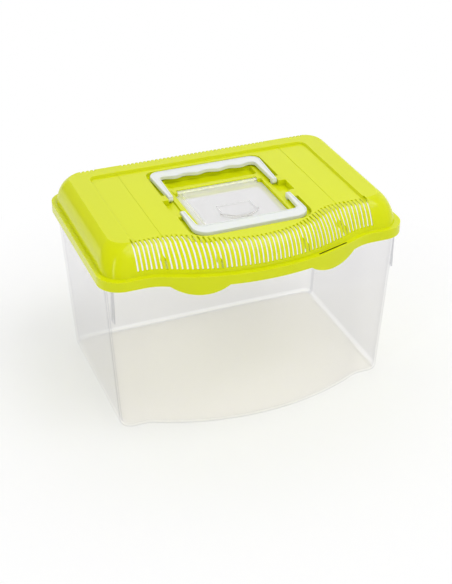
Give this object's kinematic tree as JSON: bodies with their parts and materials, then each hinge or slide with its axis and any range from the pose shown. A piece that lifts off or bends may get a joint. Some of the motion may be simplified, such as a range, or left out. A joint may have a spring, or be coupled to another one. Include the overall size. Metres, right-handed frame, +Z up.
{
  "type": "pet carrier",
  "caption": "Clear bow-fronted tank with a ventilated lift-off lid, a hinged hatch with a thumb catch, and two folding carry handles.",
  "frame": {"origin": "middle of the footprint, on the surface the tank stands on", "axes": "+X to the right along the length, +Y to the rear, +Z up; the bowed front faces -Y"},
  "size_m": [0.3, 0.2164, 0.1933],
  "materials": {
    "tank": "clear moulded polystyrene, gloss",
    "lid": "lime green plastic, satin gloss",
    "hatch": "clear moulded polystyrene, gloss",
    "hatch_catch": "clear moulded polystyrene, gloss",
    "rear_handle": "white plastic, satin",
    "front_handle": "white plastic, satin"
  },
  "bodies": {
    "tank": {"tank": "tank"},
    "lid": {"lid": "lid"},
    "hatch": {"hatch": "hatch"},
    "hatch_catch": {"hatch_catch": "hatch_catch"},
    "rear_handle": {"rear_handle": "rear_handle"},
    "front_handle": {"front_handle": "front_handle"}
  },
  "joints": [
    {"name": "lid_lift", "type": "slide", "parent": "tank", "child": "lid", "axis": [0, 0, 1], "range_m": [0, 0.06]},
    {"name": "hatch_hinge", "type": "hinge", "parent": "lid", "child": "hatch", "pos_m": [0, 0.0294, 0.1855], "axis": [-1, 0, 0], "range_deg": [0, 110]},
    {"name": "catch_flex", "type": "hinge", "parent": "hatch", "child": "hatch_catch", "pos_m": [0, -0.0118, 0.1858], "axis": [1, 0, 0], "range_deg": [0, 6], "stiffness_Nm_per_rad": 0.5},
    {"name": "rear_handle_hinge", "type": "hinge", "parent": "lid", "child": "rear_handle", "pos_m": [0, 0.0147, 0.189], "axis": [1, 0, 0], "range_deg": [0, 95]},
    {"name": "front_handle_hinge", "type": "hinge", "parent": "lid", "child": "front_handle", "pos_m": [0, -0.0214, 0.189], "axis": [-1, 0, 0], "range_deg": [0, 95]}
  ]
}
